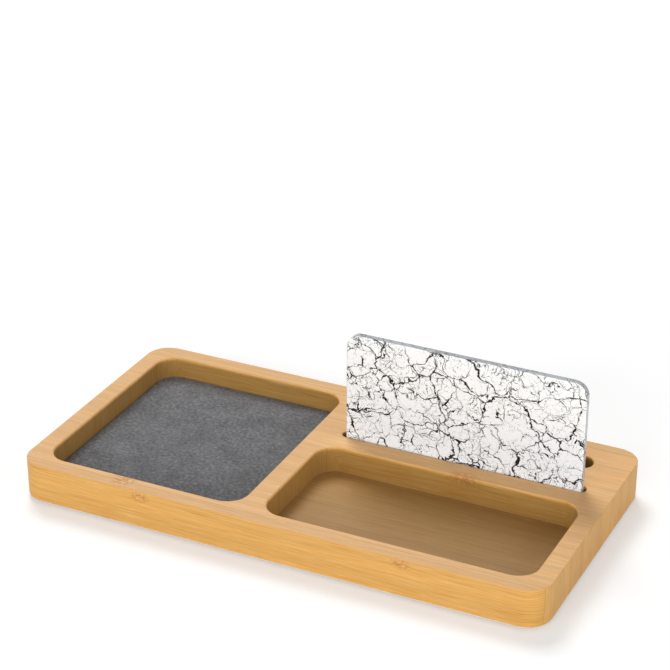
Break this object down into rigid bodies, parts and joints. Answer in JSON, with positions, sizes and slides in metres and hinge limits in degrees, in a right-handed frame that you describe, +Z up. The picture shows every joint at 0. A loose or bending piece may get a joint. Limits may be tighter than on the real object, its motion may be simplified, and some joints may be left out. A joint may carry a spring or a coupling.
{
  "type": "charging station organizer",
  "caption": "Low bamboo desk tray with a felt-lined charging pocket, an open pocket, an upright slot with a lift-out crackle-glazed plate and a leaning slot for a device.",
  "frame": {"origin": "on the table plane, under the middle of the tray", "axes": "+X to the right along the tray's long side, +Y to the back, where the socket is, +Z up"},
  "size_m": [0.2, 0.102, 0.0574],
  "materials": {
    "bamboo": "sanded and oiled, fine straight grain",
    "felt": "grey melange felt",
    "crackle_glaze": "white glaze with black crackle",
    "cover_plastic": "moulded, fine matt texture",
    "screw_steel": "zinc plated",
    "foam": "closed-cell foam",
    "ferrite": "sintered, dull",
    "coil_copper": "enamelled copper ribbon",
    "adhesive_film": "translucent film",
    "board_laminate": "green solder mask",
    "socket_steel": "nickel plated",
    "black_plastic": "moulded",
    "chip_epoxy": "moulded epoxy",
    "capacitor_ceramic": "fired ceramic with tinned ends",
    "inductor_ferrite": "pressed ferrite",
    "foot_rubber": "matt"
  },
  "bodies": {
    "tray": {"tray_body": "bamboo", "felt_pad": "felt", "base_cover": "cover_plastic", "cover_screws": "screw_steel", "board_screws": "screw_steel", "foam_spacer": "foam", "ferrite_shield": "ferrite", "charging_coil": "coil_copper", "coil_adhesive": "adhesive_film", "control_board": "board_laminate", "usb_socket_shell": "socket_steel", "usb_socket_insert": "black_plastic", "controller_chip": "chip_epoxy", "bridge_transistors": "chip_epoxy", "resonant_capacitors": "capacitor_ceramic", "input_inductor": "inductor_ferrite", "board_passives": "capacitor_ceramic", "foot_front_left": "foot_rubber", "foot_front_right": "foot_rubber", "foot_rear_left": "foot_rubber", "foot_rear_right": "foot_rubber"},
    "plate": {"crackle_plate": "crackle_glaze"}
  },
  "joints": [
    {"name": "plate_lift", "type": "slide", "parent": "tray", "child": "plate", "axis": [0, 0, 1], "range_m": [0, 0.015]}
  ]
}
